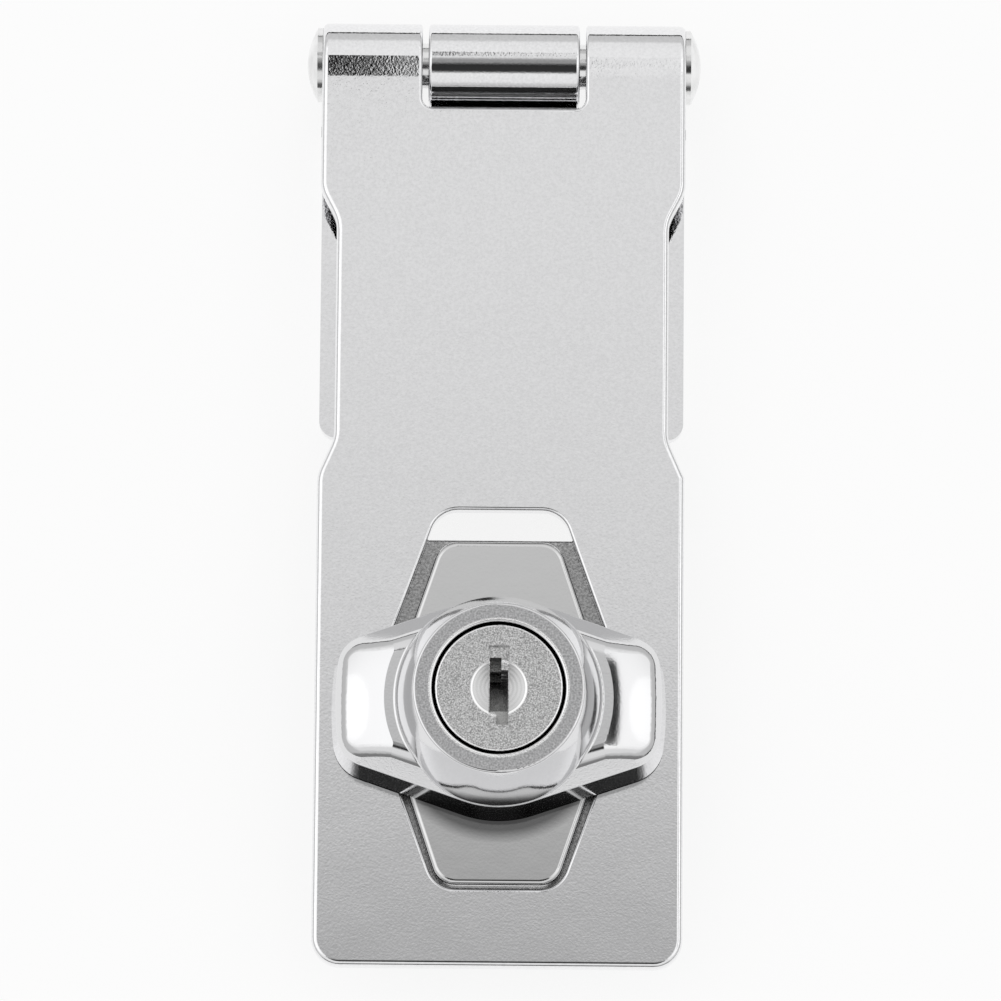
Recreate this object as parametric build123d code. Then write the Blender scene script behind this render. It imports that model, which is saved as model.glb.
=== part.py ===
from build123d import *
import os
from math import asin, cos, degrees, radians, sin, sqrt, tan

# Keyed hasp lock, in millimetres. The origin is the knob's axis on the mounting plane,
# +Z points out of the door, +Y towards the hinge and +X to the right seen from the front.

# Sheet and hinge
SHEET = 2.0
LEAF_WIDTH = 38.7
BARREL_DIAMETER = 8.9
HINGE_Y = 70.65
PIN_RADIUS = 2.40
PIN_PLAY = 0.05
KNUCKLE_GAP = 0.65
MIDDLE_KNUCKLE = 16.1
CURL_SEAM = 0.3
RIVET_HEAD_DIAMETER = 7.9
RIVET_HEAD_HEIGHT = 1.65
RIVET_RIM = 0.55
KNUCKLE_END_ROUND = 0.35

# Hasp leaf
HASP_LOW_Y = -26.9
HASP_CORNER = 3.0
HASP_NOTCH_Y = 65.0
NOTCH_CORNER = 1.2
WAIST_HALF_WIDTH = 17.6
WAIST_TOP_Y = 52.7
WAIST_LOW_Y = 29.2
WAIST_UPPER_SHOULDER_Y = 56.1
WAIST_LOWER_SHOULDER_Y = 25.2
WAIST_BLEND = 4.0
HASP_EDGE_ROUND = 0.6
SLOT_LENGTH = 40.3
SLOT_CENTRE_Y = 1.4
SLOT_END_HALF_WIDTH = 6.5
SLOT_HALF_WIDTH = 12.5
SLOT_STRAIGHT = 7.0
SLOT_CORNER = 3.0
SLOT_EDGE_ROUND = 0.3

# Fixed leaf
FIXED_LOW_Y = 30.5
FIXED_SHOULDER_Y = 64.9
FIXED_CORNER = 1.8
FIXED_EDGE_ROUND = 0.4
LEAF_HOLE_DIAMETER = 5.3
LEAF_HOLE_SPACING_X = 23.5
LEAF_HOLE_SPACING_Y = 20.9
LEAF_HOLE_CENTRE_Y = 47.85

# Lock base
BASE_WIDTH = 38.7
BASE_CORNER = 3.4
BASE_HEIGHT = 6.7
BASE_DRAFT = 6.0
BASE_EDGE_ROUND = 0.4
SCREW_HALF_PITCH = 14.25
SCREW_HOLE_DIAMETER = 4.8
COUNTERSINK_DIAMETER = 8.0
RECESS_WALL = 1.15
RECESS_ARM_HALF_WIDTH = 10.5
RECESS_DEPTH = 5.1
RECESS_DRAFT = 3.0
LEDGE_WIDTH = 0.5
LEDGE_DEPTH = 2.3
POST_CORNER = 3.75
ARM_CORNER = 1.0
PLATFORM_RADIUS = 15.1
PLATFORM_RAISE = 0.4
BAND_RADIUS = 12.2
BAND_RAISE = 0.12
LAND_RADIUS = 9.6
LAND_Z = 3.2
CHANNEL_WIDTH = 10.0
CHANNEL_END_Y = -16.0
CHANNEL_CORNER = 1.5
POCKET_WIDTH = 10.8
POCKET_END_Y = 15.3
POCKET_CORNER = 2.1
POCKET_Z = 7.2
POCKET_RIM = 0.4
EJECTOR_DIAMETER = 3.9
EJECTOR_X = 8.6
EJECTOR_Y = 8.5
EJECTOR_RAISE = 0.25
BORE_PLAY = 0.10

# Boss through the slot
BOSS_TOP_Z = 9.1
BOSS_LENGTH = 36.7
BOSS_CENTRE_Y = -0.1
BOSS_END_HALF_WIDTH = 6.3
BOSS_HALF_WIDTH = 11.05
BOSS_STRAIGHT = 8.6
BOSS_CORNER = 2.5
BOSS_DRAFT = 3.0
BOSS_EDGE_ROUND = 0.55

# Knob
SHANK_RADIUS = 6.75
SHANK_END_Z = 1.5
SHANK_CHAMFER = 0.35
SKIRT_Z = 9.3
SKIRT_HEIGHT = 6.0
SKIRT_DRAFT = 5.0
BULGE_RADIUS = 11.6
WING_SPAN = 35.0
TIP_X = 16.85
TIP_HALF_WIDTH = 6.5
TIP_CORNER = 4.0
WING_RISE = 2.6
WING_BEVEL = 2.17
WING_EDGE_ROUND = 2.1
SKIRT_EDGE_ROUND = 0.4
WING_FLAT_RADIUS = 11.9
WING_TIP_DROP = 2.5
WING_BULGE = 0.3
STEEPEST_TOP = 35.0
DOME_FOOT_RADIUS = 11.0
DOME_MIDDLE_RADIUS = 10.45
DOME_MIDDLE_Z = 18.8
DOME_TOP_RADIUS = 8.85
DOME_EDGE_ROUND = 0.3
DOME_FOOT_ROUND = 0.4
KNOB_TOP_Z = 24.0
KNOB_BORE_ROUND = 0.2

# Quarter-turn stop between knob and base
STOP_RADIUS = 8.8
STOP_WIDTH = 1.2
STOP_DEPTH = 0.85
STOP_HALF_ANGLE = 8.0
STOP_START_ANGLE = 45.0
STOP_TURN = 90.0
STOP_PLAY = 0.2
STOP_PLAY_ANGLE = 1.5

# Plug and its wafers
PLUG_HEAD_RADIUS = 6.62
PLUG_HEAD_THICKNESS = 1.5
PLUG_FACE_SET_BACK = 0.1
PLUG_RADIUS = 4.6
PLUG_PLAY = 0.10
PLUG_HEAD_GAP = 0.3
PLUG_END_Z = 8.0
PLUG_FACE_ROUND = 0.25
DIMPLE_RADIUS = 2.9
DIMPLE_DEPTH = 0.25
KEY_FRAME_WIDTH = 2.1
KEY_FRAME_HEIGHT = 8.8
KEY_FRAME_DEPTH = 0.45
KEYWAY_WIDTH = 1.9
KEYWAY_TOP_Y = 3.2
KEYWAY_LOW_Y = -3.8
WARD_WIDTH = 0.7
WARD_HEIGHT = 1.3
WAFER_COUNT = 5
WAFER_THICKNESS = 1.0
WAFER_WIDTH = 4.2
WAFER_LENGTH = 8.9
WAFER_PITCH = 1.9
FIRST_WAFER_Z = 20.4
WAFER_WINDOW_WIDTH = 2.1
WAFER_WINDOW_LENGTH = 5.2
WAFER_LIFTS = (0.6, -0.1, 0.3, -0.4, 0.1)
WAFER_PLAY = 0.06
WAFER_TAB_REACH = 1.3
WAFER_TAB_HEIGHT = 0.9
WAFER_WINDOW_CORNER = 0.2
WAFER_TRAVEL = 0.5
GROOVE_DEPTH = WAFER_TRAVEL + 0.15
SPRING_WIRE = 0.22
SPRING_DIAMETER = 1.0
SPRING_TURNS = 3
SPRING_LENGTH = 1.9
SPRING_ARCS = 4
RETAINER_REACH = 0.35

# Drive pin and locking bolt
BOLT_STROKE = 4.15
DRIVE_ECCENTRICITY = BOLT_STROKE / 2
DRIVE_PIN_RADIUS = 1.1
DRIVE_PIN_END_Z = 4.2
BOLT_WIDTH = 8.2
BOLT_THICKNESS = 2.8
BOLT_Z = 3.7
BOLT_REAR_Y = 4.7
BOLT_SLOT_CLEARANCE = 0.55
BOLT_PLAY = 0.10

# Circlip
CIRCLIP_OUTER_RADIUS = 8.1
CIRCLIP_INNER_RADIUS = 6.1
CIRCLIP_THICKNESS = 1.0
CIRCLIP_Z = 2.1
CIRCLIP_GROOVE_PLAY = 0.05
LUG_HOLE_RADIUS = 0.7
LUG_HOLE_AT = 9.05
LUG_REACH = 10.9
LUG_HALF_WIDTH = 1.9
LUG_CORNER = 0.8
LUG_ROOT = 0.6
CIRCLIP_GAP = 1.9
FIRST_LUG_ANGLE = -87.0
SECOND_LUG_ANGLE = -126.4

# Worked-out places
BARREL_RADIUS = BARREL_DIAMETER / 2
HALF_LEAF = LEAF_WIDTH / 2
HASP_BACK_Z = BARREL_DIAMETER - SHEET
HALF_BASE = BASE_WIDTH / 2
SKIRT_TOP_Z = SKIRT_Z + SKIRT_HEIGHT
WING_TOP_Z = SKIRT_TOP_Z + WING_RISE
PLUG_FACE_Z = KNOB_TOP_Z - PLUG_FACE_SET_BACK
PLUG_SHOULDER_Z = PLUG_FACE_Z - PLUG_HEAD_THICKNESS


def prism(sketch, low_z, high_z, taper=0.0):
    """The sketch carried up from low_z to high_z, leaning in by the taper angle."""
    faces = (Pos(0, 0, low_z) * sketch).faces()
    upward = [face if face.normal_at().Z > 0 else -face for face in faces]
    return extrude(upward, high_z - low_z, taper=taper)


def block(x_range, y_range, z_range):
    """A rectangular block between the given limits."""
    size = [high - low for low, high in (x_range, y_range, z_range)]
    middle = [(low + high) / 2 for low, high in (x_range, y_range, z_range)]
    return Pos(*middle) * Box(*size)


def drum(radius, low_z, high_z, x=0.0, y=0.0):
    """An upright cylinder between two heights."""
    return Pos(x, y, (low_z + high_z) / 2) * Cylinder(radius, high_z - low_z)


def polygon(points):
    """A filled outline through the points, closed back to the first."""
    return make_face(Polyline(*points, close=True))


def mirrored_outline(right_half):
    """A filled outline from its right-hand points, repeated on the left of the Y axis."""
    left_half = [(-x, y) for x, y in reversed(right_half)]
    return polygon(right_half + left_half)


def edges_at(solid, z):
    """The solid's edges that lie flat at height z."""
    return [e for e in solid.edges() if abs(e.bounding_box().min.Z - z) < 1e-4
            and abs(e.bounding_box().max.Z - z) < 1e-4]


def curl(x_low, x_high):
    """A sheet rolled round the hinge axis, its lower side tangent to the plate below it."""
    ring = Circle(BARREL_RADIUS) - Circle(PIN_RADIUS + PIN_PLAY)
    seam_z = SHEET - BARREL_RADIUS + CURL_SEAM / 2
    seam = Pos(-BARREL_RADIUS / 2 - PIN_RADIUS / 4, seam_z) * Rectangle(BARREL_RADIUS + 1, CURL_SEAM)
    section = Plane(origin=(x_low, HINGE_Y, BARREL_RADIUS), x_dir=(0, 1, 0), z_dir=(1, 0, 0))
    return extrude(section * (ring - seam), x_high - x_low, dir=(1, 0, 0))


def barrel_ends(leaf, x):
    """The round edges of a leaf's barrel at a distance x either side of the middle."""
    return [e for e in leaf.edges() if abs(abs(e.center().X) - x) < 0.01 and e.bounding_box().size.X < 0.01
            and e.geom_type == GeomType.CIRCLE and abs(e.radius - BARREL_RADIUS) < 0.01]


def round_corners(sketch, radius, chosen):
    """The sketch with the corners that the test picks out rounded."""
    return fillet([v for v in sketch.vertices() if chosen(v.X, v.Y)], radius)


def fixed_leaf():
    """The short drilled leaf, rolled into the hinge's middle knuckle."""
    half_tongue = MIDDLE_KNUCKLE / 2
    outline = mirrored_outline([
        (HALF_LEAF, FIXED_LOW_Y),
        (HALF_LEAF, FIXED_SHOULDER_Y),
        (half_tongue, FIXED_SHOULDER_Y),
        (half_tongue, HINGE_Y),
    ])
    outline = round_corners(outline, FIXED_CORNER, lambda x, y: abs(x) > half_tongue + 1)
    plate = prism(outline, 0, SHEET)
    rim = [e for e in edges_at(plate, 0) if e.center().Y < HINGE_Y - 0.1]
    plate = fillet(rim, FIXED_EDGE_ROUND)
    holes = GridLocations(LEAF_HOLE_SPACING_X, LEAF_HOLE_SPACING_Y, 2, 2)
    plate -= [Pos(0, LEAF_HOLE_CENTRE_Y, SHEET / 2) * at * Cylinder(LEAF_HOLE_DIAMETER / 2, 2 * SHEET)
              for at in holes]
    leaf = plate + curl(-half_tongue, half_tongue)
    return fillet(barrel_ends(leaf, half_tongue), KNUCKLE_END_ROUND)


def slot_outline():
    """The six-sided slot that drops over the boss."""
    half = SLOT_LENGTH / 2
    slot = mirrored_outline([
        (SLOT_END_HALF_WIDTH, -half),
        (SLOT_HALF_WIDTH, -SLOT_STRAIGHT / 2),
        (SLOT_HALF_WIDTH, SLOT_STRAIGHT / 2),
        (SLOT_END_HALF_WIDTH, half),
    ])
    return Pos(0, SLOT_CENTRE_Y) * fillet(slot.vertices(), SLOT_CORNER)


def notch_rim(plate, notch_half):
    """The front edges of the notch that the middle knuckle stands in."""
    return [e for e in edges_at(plate, BARREL_DIAMETER)
            if e.center().Y > HASP_NOTCH_Y - 0.01 and abs(e.center().X) < notch_half + 0.01]


def hasp_leaf():
    """The long waisted leaf with its slot, rolled into the two outer knuckles."""
    notch_half = MIDDLE_KNUCKLE / 2 + KNUCKLE_GAP
    outline = mirrored_outline([
        (HALF_LEAF, HASP_LOW_Y),
        (HALF_LEAF, WAIST_LOWER_SHOULDER_Y),
        (WAIST_HALF_WIDTH, WAIST_LOW_Y),
        (WAIST_HALF_WIDTH, WAIST_TOP_Y),
        (HALF_LEAF, WAIST_UPPER_SHOULDER_Y),
        (HALF_LEAF, HINGE_Y),
        (notch_half, HINGE_Y),
        (notch_half, HASP_NOTCH_Y),
    ])
    outline = round_corners(outline, HASP_CORNER, lambda x, y: y == HASP_LOW_Y)
    outline = round_corners(outline, NOTCH_CORNER, lambda x, y: y == HASP_NOTCH_Y)
    outline = round_corners(outline, WAIST_BLEND,
                            lambda x, y: WAIST_LOWER_SHOULDER_Y <= y <= WAIST_UPPER_SHOULDER_Y)
    plate = prism(outline, HASP_BACK_Z, BARREL_DIAMETER)
    middle = Plane(origin=(0, 0, BARREL_RADIUS))
    knuckle = mirror(curl(notch_half, HALF_LEAF), about=middle)
    plate = plate + knuckle + mirror(knuckle, about=Plane.YZ)
    notch = notch_rim(plate, notch_half)
    rim = [e for e in edges_at(plate, BARREL_DIAMETER)
           if e.center().Y < HINGE_Y - 0.01 and not any(e.is_same(other) for other in notch)]
    plate = fillet(rim + barrel_ends(plate, HALF_LEAF), HASP_EDGE_ROUND)
    plate = fillet(notch_rim(plate, notch_half) + barrel_ends(plate, notch_half), KNUCKLE_END_ROUND)
    plate -= prism(slot_outline(), HASP_BACK_Z - 1, BARREL_DIAMETER + 1)
    slot_rim = [e for e in edges_at(plate, BARREL_DIAMETER) if abs(e.center().X) < SLOT_HALF_WIDTH + 0.01
                and abs(e.center().Y - SLOT_CENTRE_Y) < SLOT_LENGTH / 2 + 0.01]
    return fillet(slot_rim, SLOT_EDGE_ROUND)


def hinge_pin():
    """The riveted pin: a plain rod with a low domed head on each end."""
    head_radius = RIVET_HEAD_DIAMETER / 2
    dome_height = RIVET_HEAD_HEIGHT - RIVET_RIM
    ball = (head_radius ** 2 + dome_height ** 2) / (2 * dome_height)
    shoulder = HALF_LEAF + RIVET_RIM
    tip = HALF_LEAF + RIVET_HEAD_HEIGHT
    lean = asin(head_radius / ball) / 2
    middle = (tip - ball + ball * cos(lean), ball * sin(lean))
    half = make_face([
        Polyline((0, 0), (0, PIN_RADIUS), (HALF_LEAF, PIN_RADIUS), (HALF_LEAF, head_radius),
                 (shoulder, head_radius)),
        ThreePointArc((shoulder, head_radius), middle, (tip, 0)),
        Line((tip, 0), (0, 0)),
    ])
    rod = revolve(half, Axis.X)
    rod = rod + mirror(rod, about=Plane.YZ)
    return Pos(0, HINGE_Y, BARREL_RADIUS) * rod


def upright_edges(solid, chosen):
    """The edges of a solid that rise through its height, where the test picks their middle."""
    box = solid.bounding_box()
    return [e for e in solid.edges()
            if e.bounding_box().size.Z > 0.9 * box.size.Z and chosen(e.center().X, e.center().Y)]


def cross_outline(inset):
    """The back recess's cross, drawn in by the inset, curved round the four screw posts."""
    reach = HALF_BASE - RECESS_WALL - inset
    arm = RECESS_ARM_HALF_WIDTH - inset
    quarter = [(reach, arm), (arm, arm), (arm, reach)]
    points = quarter + [(-x, y) for x, y in reversed(quarter)]
    points += [(-x, -y) for x, y in points]
    cross = round_corners(polygon(points), POST_CORNER + inset, lambda x, y: max(abs(x), abs(y)) < arm + 0.1)
    return round_corners(cross, ARM_CORNER, lambda x, y: max(abs(x), abs(y)) > reach - 0.1)


def cross_tier(inset, low_z, high_z):
    """One tier of the cross-shaped hollow, narrowing with its draft."""
    lean = (high_z - low_z) * tan(radians(RECESS_DRAFT))
    outlines = [Pos(0, 0, low_z) * cross_outline(inset), Pos(0, 0, high_z) * cross_outline(inset + lean)]
    return loft(outlines, ruled=True)


def hub_land():
    """The flat land round the bore, its ends rounded where the bolt's channel opens."""
    disc = Circle(LAND_RADIUS) - Pos(0, -LAND_RADIUS / 2) * Rectangle(CHANNEL_WIDTH, LAND_RADIUS)
    disc = round_corners(disc, CHANNEL_CORNER, lambda x, y: y < -SHANK_RADIUS)
    return prism(disc, LAND_Z, RECESS_DEPTH + 0.2)


def back_recess():
    """What is hollow behind the base: the cross with its platform and land left standing."""
    hollow = cross_tier(0, 0, LEDGE_DEPTH) + cross_tier(LEDGE_WIDTH, LEDGE_DEPTH, RECESS_DEPTH)
    platform_z = RECESS_DEPTH - PLATFORM_RAISE
    hollow -= drum(PLATFORM_RADIUS, platform_z, RECESS_DEPTH + 1)
    hollow -= drum(BAND_RADIUS, platform_z - BAND_RAISE, RECESS_DEPTH)
    pads = GridLocations(2 * EJECTOR_X, 2 * EJECTOR_Y, 2, 2)
    hollow -= [at * drum(EJECTOR_DIAMETER / 2, platform_z - EJECTOR_RAISE, platform_z + 0.1)
               for at in pads]
    return hollow


def bolt_channel():
    """The groove below the bore that the locking bolt runs out into."""
    length = -CHANNEL_END_Y
    outline = Pos(0, CHANNEL_END_Y / 2) * Rectangle(CHANNEL_WIDTH, length)
    outline = round_corners(outline, CHANNEL_CORNER, lambda x, y: y < CHANNEL_END_Y + 0.01)
    return prism(outline, LAND_Z - 0.1, POCKET_Z)


def boss_pocket():
    """The cored pocket behind the boss's upper end."""
    height = POCKET_END_Y - SHANK_RADIUS
    outline = Pos(0, POCKET_END_Y - height / 2) * Rectangle(POCKET_WIDTH, height)
    outline = round_corners(outline, POCKET_CORNER, lambda x, y: y > POCKET_END_Y - 0.01)
    mouth_z = RECESS_DEPTH - PLATFORM_RAISE - BAND_RAISE
    pocket = prism(outline, LAND_Z, POCKET_Z)
    pocket += prism(offset(outline, POCKET_RIM), mouth_z, mouth_z + POCKET_RIM, 45)
    return pocket - drum(LAND_RADIUS, 0, BOSS_TOP_Z)


def boss():
    """The six-sided boss that fills the hasp's slot."""
    half = BOSS_LENGTH / 2
    outline = mirrored_outline([
        (BOSS_END_HALF_WIDTH, -half),
        (BOSS_HALF_WIDTH, -BOSS_STRAIGHT / 2),
        (BOSS_HALF_WIDTH, BOSS_STRAIGHT / 2),
        (BOSS_END_HALF_WIDTH, half),
    ])
    body = prism(outline, BASE_HEIGHT - 1, BOSS_TOP_Z, BOSS_DRAFT)
    body = fillet(upright_edges(body, lambda x, y: True), BOSS_CORNER)
    return Pos(0, BOSS_CENTRE_Y) * fillet(edges_at(body, BOSS_TOP_Z), BOSS_EDGE_ROUND)


def stop_arc(radius_play, angle_play, low_z, high_z, sweep):
    """A curved key or groove round the knob's axis, starting where the stop rests."""
    start = STOP_START_ANGLE - STOP_HALF_ANGLE - angle_play
    size = 2 * (STOP_HALF_ANGLE + angle_play) + sweep
    outline = SlotArc(CenterArc((0, 0), STOP_RADIUS, start, size), STOP_WIDTH + 2 * radius_play)
    return prism(outline, low_z, high_z)


def screw_hole():
    """One screw hole of the base with its countersink at the front."""
    radius = SCREW_HOLE_DIAMETER / 2
    sink_radius = COUNTERSINK_DIAMETER / 2
    depth = sink_radius - radius
    sink = Pos(0, 0, BASE_HEIGHT - depth / 2) * Cone(radius, sink_radius, depth)
    return drum(radius, -1, BASE_HEIGHT) + sink + drum(sink_radius, BASE_HEIGHT, BOSS_TOP_Z)


def lock_base():
    """The cast square base: flange, boss, cored back, bore, bolt channel and screw holes."""
    outline = RectangleRounded(BASE_WIDTH, BASE_WIDTH, BASE_CORNER)
    flange = prism(outline, 0, BASE_HEIGHT, BASE_DRAFT)
    flange = fillet(edges_at(flange, BASE_HEIGHT), BASE_EDGE_ROUND)
    body = flange + boss()
    body -= back_recess() - hub_land()
    body -= bolt_channel()
    body -= boss_pocket()
    body -= drum(SHANK_RADIUS + BORE_PLAY, -1, BOSS_TOP_Z + 1)
    body -= [at * screw_hole() for at in GridLocations(2 * SCREW_HALF_PITCH, 2 * SCREW_HALF_PITCH, 2, 2)]
    groove_floor = BOSS_TOP_Z - STOP_DEPTH + (BOSS_TOP_Z - SKIRT_Z)
    return body - stop_arc(STOP_PLAY, STOP_PLAY_ANGLE, groove_floor, BOSS_TOP_Z + 1, STOP_TURN)


def wing_outline():
    """The knob's plan: a round middle with a wing each side, its edges tangent to the round."""
    corner = sqrt(TIP_X ** 2 + TIP_HALF_WIDTH ** 2)
    toward_corner = asin(TIP_HALF_WIDTH / corner)
    tangent = toward_corner + (radians(90) - asin(BULGE_RADIUS / corner))
    touch_x = BULGE_RADIUS * cos(tangent)
    touch_y = BULGE_RADIUS * sin(tangent)
    edges = []
    for turn in (1, -1):
        low_touch = (turn * touch_x, -turn * touch_y)
        low_corner = (turn * TIP_X, -turn * TIP_HALF_WIDTH)
        tip = (turn * WING_SPAN / 2, 0)
        high_corner = (turn * TIP_X, turn * TIP_HALF_WIDTH)
        high_touch = (turn * touch_x, turn * touch_y)
        edges.append(Line(low_touch, low_corner))
        edges.append(ThreePointArc(low_corner, tip, high_corner))
        edges.append(Line(high_corner, high_touch))
        edges.append(ThreePointArc(high_touch, (0, turn * BULGE_RADIUS), (-turn * touch_x, turn * touch_y)))
    outline = make_face(edges)
    return round_corners(outline, TIP_CORNER, lambda x, y: abs(abs(x) - TIP_X) < 0.01)


def wing_top():
    """The turned surface over the wings: flat round the dome, then falling to the tips."""
    tip = WING_SPAN / 2 + 1
    low_z = WING_TOP_Z - WING_TIP_DROP * (tip - WING_FLAT_RADIUS) / (WING_SPAN / 2 - WING_FLAT_RADIUS)
    middle_r = (WING_FLAT_RADIUS + tip) / 2
    middle_z = (WING_TOP_Z + low_z) / 2 + WING_BULGE
    section = make_face([
        Polyline((tip, low_z), (tip, SKIRT_Z - 1), (0, SKIRT_Z - 1), (0, WING_TOP_Z),
                 (WING_FLAT_RADIUS, WING_TOP_Z)),
        ThreePointArc((WING_FLAT_RADIUS, WING_TOP_Z), (middle_r, middle_z), (tip, low_z)),
    ])
    return revolve(Plane.XZ * section, Axis.Z)


def dome():
    """The turned dome over the wings, up to the flat ring round the plug."""
    section = make_face([
        Polyline((DOME_TOP_RADIUS, KNOB_TOP_Z), (0, KNOB_TOP_Z), (0, SKIRT_TOP_Z - 1),
                 (DOME_FOOT_RADIUS, SKIRT_TOP_Z - 1), (DOME_FOOT_RADIUS, SKIRT_TOP_Z)),
        ThreePointArc((DOME_FOOT_RADIUS, SKIRT_TOP_Z), (DOME_MIDDLE_RADIUS, DOME_MIDDLE_Z),
                      (DOME_TOP_RADIUS, KNOB_TOP_Z)),
    ])
    section = round_corners(section, DOME_EDGE_ROUND,
                            lambda x, y: x > 1 and abs(y - KNOB_TOP_Z) < 0.01)
    return revolve(Plane.XZ * section, Axis.Z)


def middle_radius(edge):
    """How far an edge's middle lies from the knob's axis."""
    middle = edge @ 0.5
    return sqrt(middle.X ** 2 + middle.Y ** 2)


def wing_rim(wings):
    """The edges between the wings' bevel and their turned top."""
    tops = [face for face in wings.faces() if face.normal_at().Z > cos(radians(STEEPEST_TOP))]
    edges = [edge for face in tops for edge in face.edges()]
    return [e for e in edges if abs(middle_radius(e) - WING_FLAT_RADIUS) > 0.01]


def dome_foot(head):
    """The hollow edges where the dome rises out of the wings."""
    above_skirt = SKIRT_TOP_Z + SKIRT_EDGE_ROUND
    return [e for e in head.edges() if DOME_MIDDLE_RADIUS - 0.1 < middle_radius(e) < DOME_FOOT_RADIUS
            and above_skirt < (e @ 0.5).Z < WING_TOP_Z + 0.01]


def knob_head():
    """The outside of the knob: drafted skirt, bevelled wings and dome."""
    skirt = prism(wing_outline(), SKIRT_Z, SKIRT_TOP_Z, SKIRT_DRAFT)
    rim = max(skirt.faces(), key=lambda f: f.center().Z)
    bevel_angle = degrees(asin(WING_BEVEL / sqrt(WING_BEVEL ** 2 + WING_RISE ** 2)))
    crown = extrude(rim, WING_RISE, taper=bevel_angle)
    wings = (skirt + crown) & wing_top()
    wings = fillet(edges_at(wings, SKIRT_TOP_Z), SKIRT_EDGE_ROUND)
    head = fillet(wing_rim(wings), WING_EDGE_ROUND) + dome()
    return fillet(dome_foot(head), DOME_FOOT_ROUND)


def wafer_z(index):
    """The middle height of a wafer, counted from the face; the last one is the retainer."""
    return FIRST_WAFER_Z - index * WAFER_PITCH


def bolt_passage():
    """The slot across the shank that the locking bolt slides in."""
    half = BOLT_WIDTH / 2 + BOLT_PLAY
    rear = BOLT_REAR_Y + 3 * BOLT_PLAY
    z_range = (BOLT_Z - BOLT_PLAY, BOLT_Z + BOLT_THICKNESS + BOLT_PLAY)
    return block((-half, half), (-SHANK_RADIUS - 1, rear), z_range)


def wafer_groove(side):
    """The groove in the knob's bore, along one side, that the wafers spring out into."""
    half = WAFER_WIDTH / 2 + 2 * WAFER_PLAY
    reach = PLUG_RADIUS + GROOVE_DEPTH
    low_z = wafer_z(WAFER_COUNT - 1) - WAFER_THICKNESS
    y_range = sorted((side * PLUG_RADIUS / 2, side * reach))
    return block((-half, half), y_range, (low_z, PLUG_SHOULDER_Z))


def retainer_groove():
    """The ring groove in the knob's bore that the retainer wafer holds the plug in by."""
    middle = wafer_z(WAFER_COUNT)
    half = WAFER_THICKNESS / 2 + PLUG_PLAY
    return drum(PLUG_RADIUS + RETAINER_REACH + PLUG_PLAY, middle - half, middle + half)


def knob():
    """The winged knob with its shank, cored for the plug, the wafers and the bolt."""
    body = knob_head() + drum(SHANK_RADIUS, SHANK_END_Z, SKIRT_Z + 1)
    body = chamfer(edges_at(body, SHANK_END_Z), SHANK_CHAMFER)
    body += stop_arc(0, 0, SKIRT_Z - STOP_DEPTH, SKIRT_Z + 0.5, 0)
    head_seat = PLUG_SHOULDER_Z - PLUG_PLAY
    body -= drum(PLUG_HEAD_RADIUS + PLUG_HEAD_GAP, head_seat, KNOB_TOP_Z + 1)
    rims = [e for e in edges_at(body, KNOB_TOP_Z) if e.geom_type == GeomType.CIRCLE]
    body = fillet(min(rims, key=lambda rim: rim.radius), KNOB_BORE_ROUND)
    body -= drum(PLUG_RADIUS + PLUG_PLAY, PLUG_END_Z - PLUG_PLAY, KNOB_TOP_Z)
    body -= drum(DRIVE_ECCENTRICITY + DRIVE_PIN_RADIUS + BOLT_PLAY, BOLT_Z, PLUG_END_Z)
    body -= bolt_passage()
    body -= [wafer_groove(side) for side in (1, -1)]
    body -= retainer_groove()
    groove = drum(SHANK_RADIUS + 1, CIRCLIP_Z - CIRCLIP_GROOVE_PLAY,
                  CIRCLIP_Z + CIRCLIP_THICKNESS + CIRCLIP_GROOVE_PLAY)
    return body - (groove - drum(CIRCLIP_INNER_RADIUS - CIRCLIP_GROOVE_PLAY, 0, LAND_Z + 1))


def circlip():
    """The external circlip: a ring open between two drilled lugs."""
    root = CIRCLIP_INNER_RADIUS + LUG_ROOT
    lug = Pos((root + LUG_REACH) / 2) * Rectangle(LUG_REACH - root, 2 * LUG_HALF_WIDTH)
    lug = round_corners(lug, LUG_CORNER, lambda x, y: x > CIRCLIP_OUTER_RADIUS)
    ring = Circle(CIRCLIP_OUTER_RADIUS) + [Rot(0, 0, a) * lug for a in (FIRST_LUG_ANGLE, SECOND_LUG_ANGLE)]
    ring -= Circle(CIRCLIP_INNER_RADIUS)
    gap_angle = (FIRST_LUG_ANGLE + SECOND_LUG_ANGLE) / 2
    ring -= Rot(0, 0, gap_angle) * Pos(LUG_REACH / 2) * Rectangle(LUG_REACH, CIRCLIP_GAP)
    ring -= [Rot(0, 0, a) * Pos(LUG_HOLE_AT) * Circle(LUG_HOLE_RADIUS)
             for a in (FIRST_LUG_ANGLE, SECOND_LUG_ANGLE)]
    return prism(ring, CIRCLIP_Z, CIRCLIP_Z + CIRCLIP_THICKNESS)


def keyway():
    """The key's way through the plug: a shallow frame, then a slot with a ward each side."""
    face = PLUG_FACE_Z + 1
    frame = block((-KEY_FRAME_WIDTH / 2, KEY_FRAME_WIDTH / 2),
                  (-KEY_FRAME_HEIGHT / 2, KEY_FRAME_HEIGHT / 2),
                  (PLUG_FACE_Z - KEY_FRAME_DEPTH, face))
    half = KEYWAY_WIDTH / 2
    section = polygon([
        (-half, KEYWAY_TOP_Y),
        (half - WARD_WIDTH, KEYWAY_TOP_Y),
        (half - WARD_WIDTH, KEYWAY_TOP_Y - WARD_HEIGHT),
        (half, KEYWAY_TOP_Y - WARD_HEIGHT),
        (half, KEYWAY_LOW_Y),
        (WARD_WIDTH - half, KEYWAY_LOW_Y),
        (WARD_WIDTH - half, KEYWAY_LOW_Y + WARD_HEIGHT),
        (-half, KEYWAY_LOW_Y + WARD_HEIGHT),
    ])
    return frame + prism(section, PLUG_END_Z + WAFER_THICKNESS, face)


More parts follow.
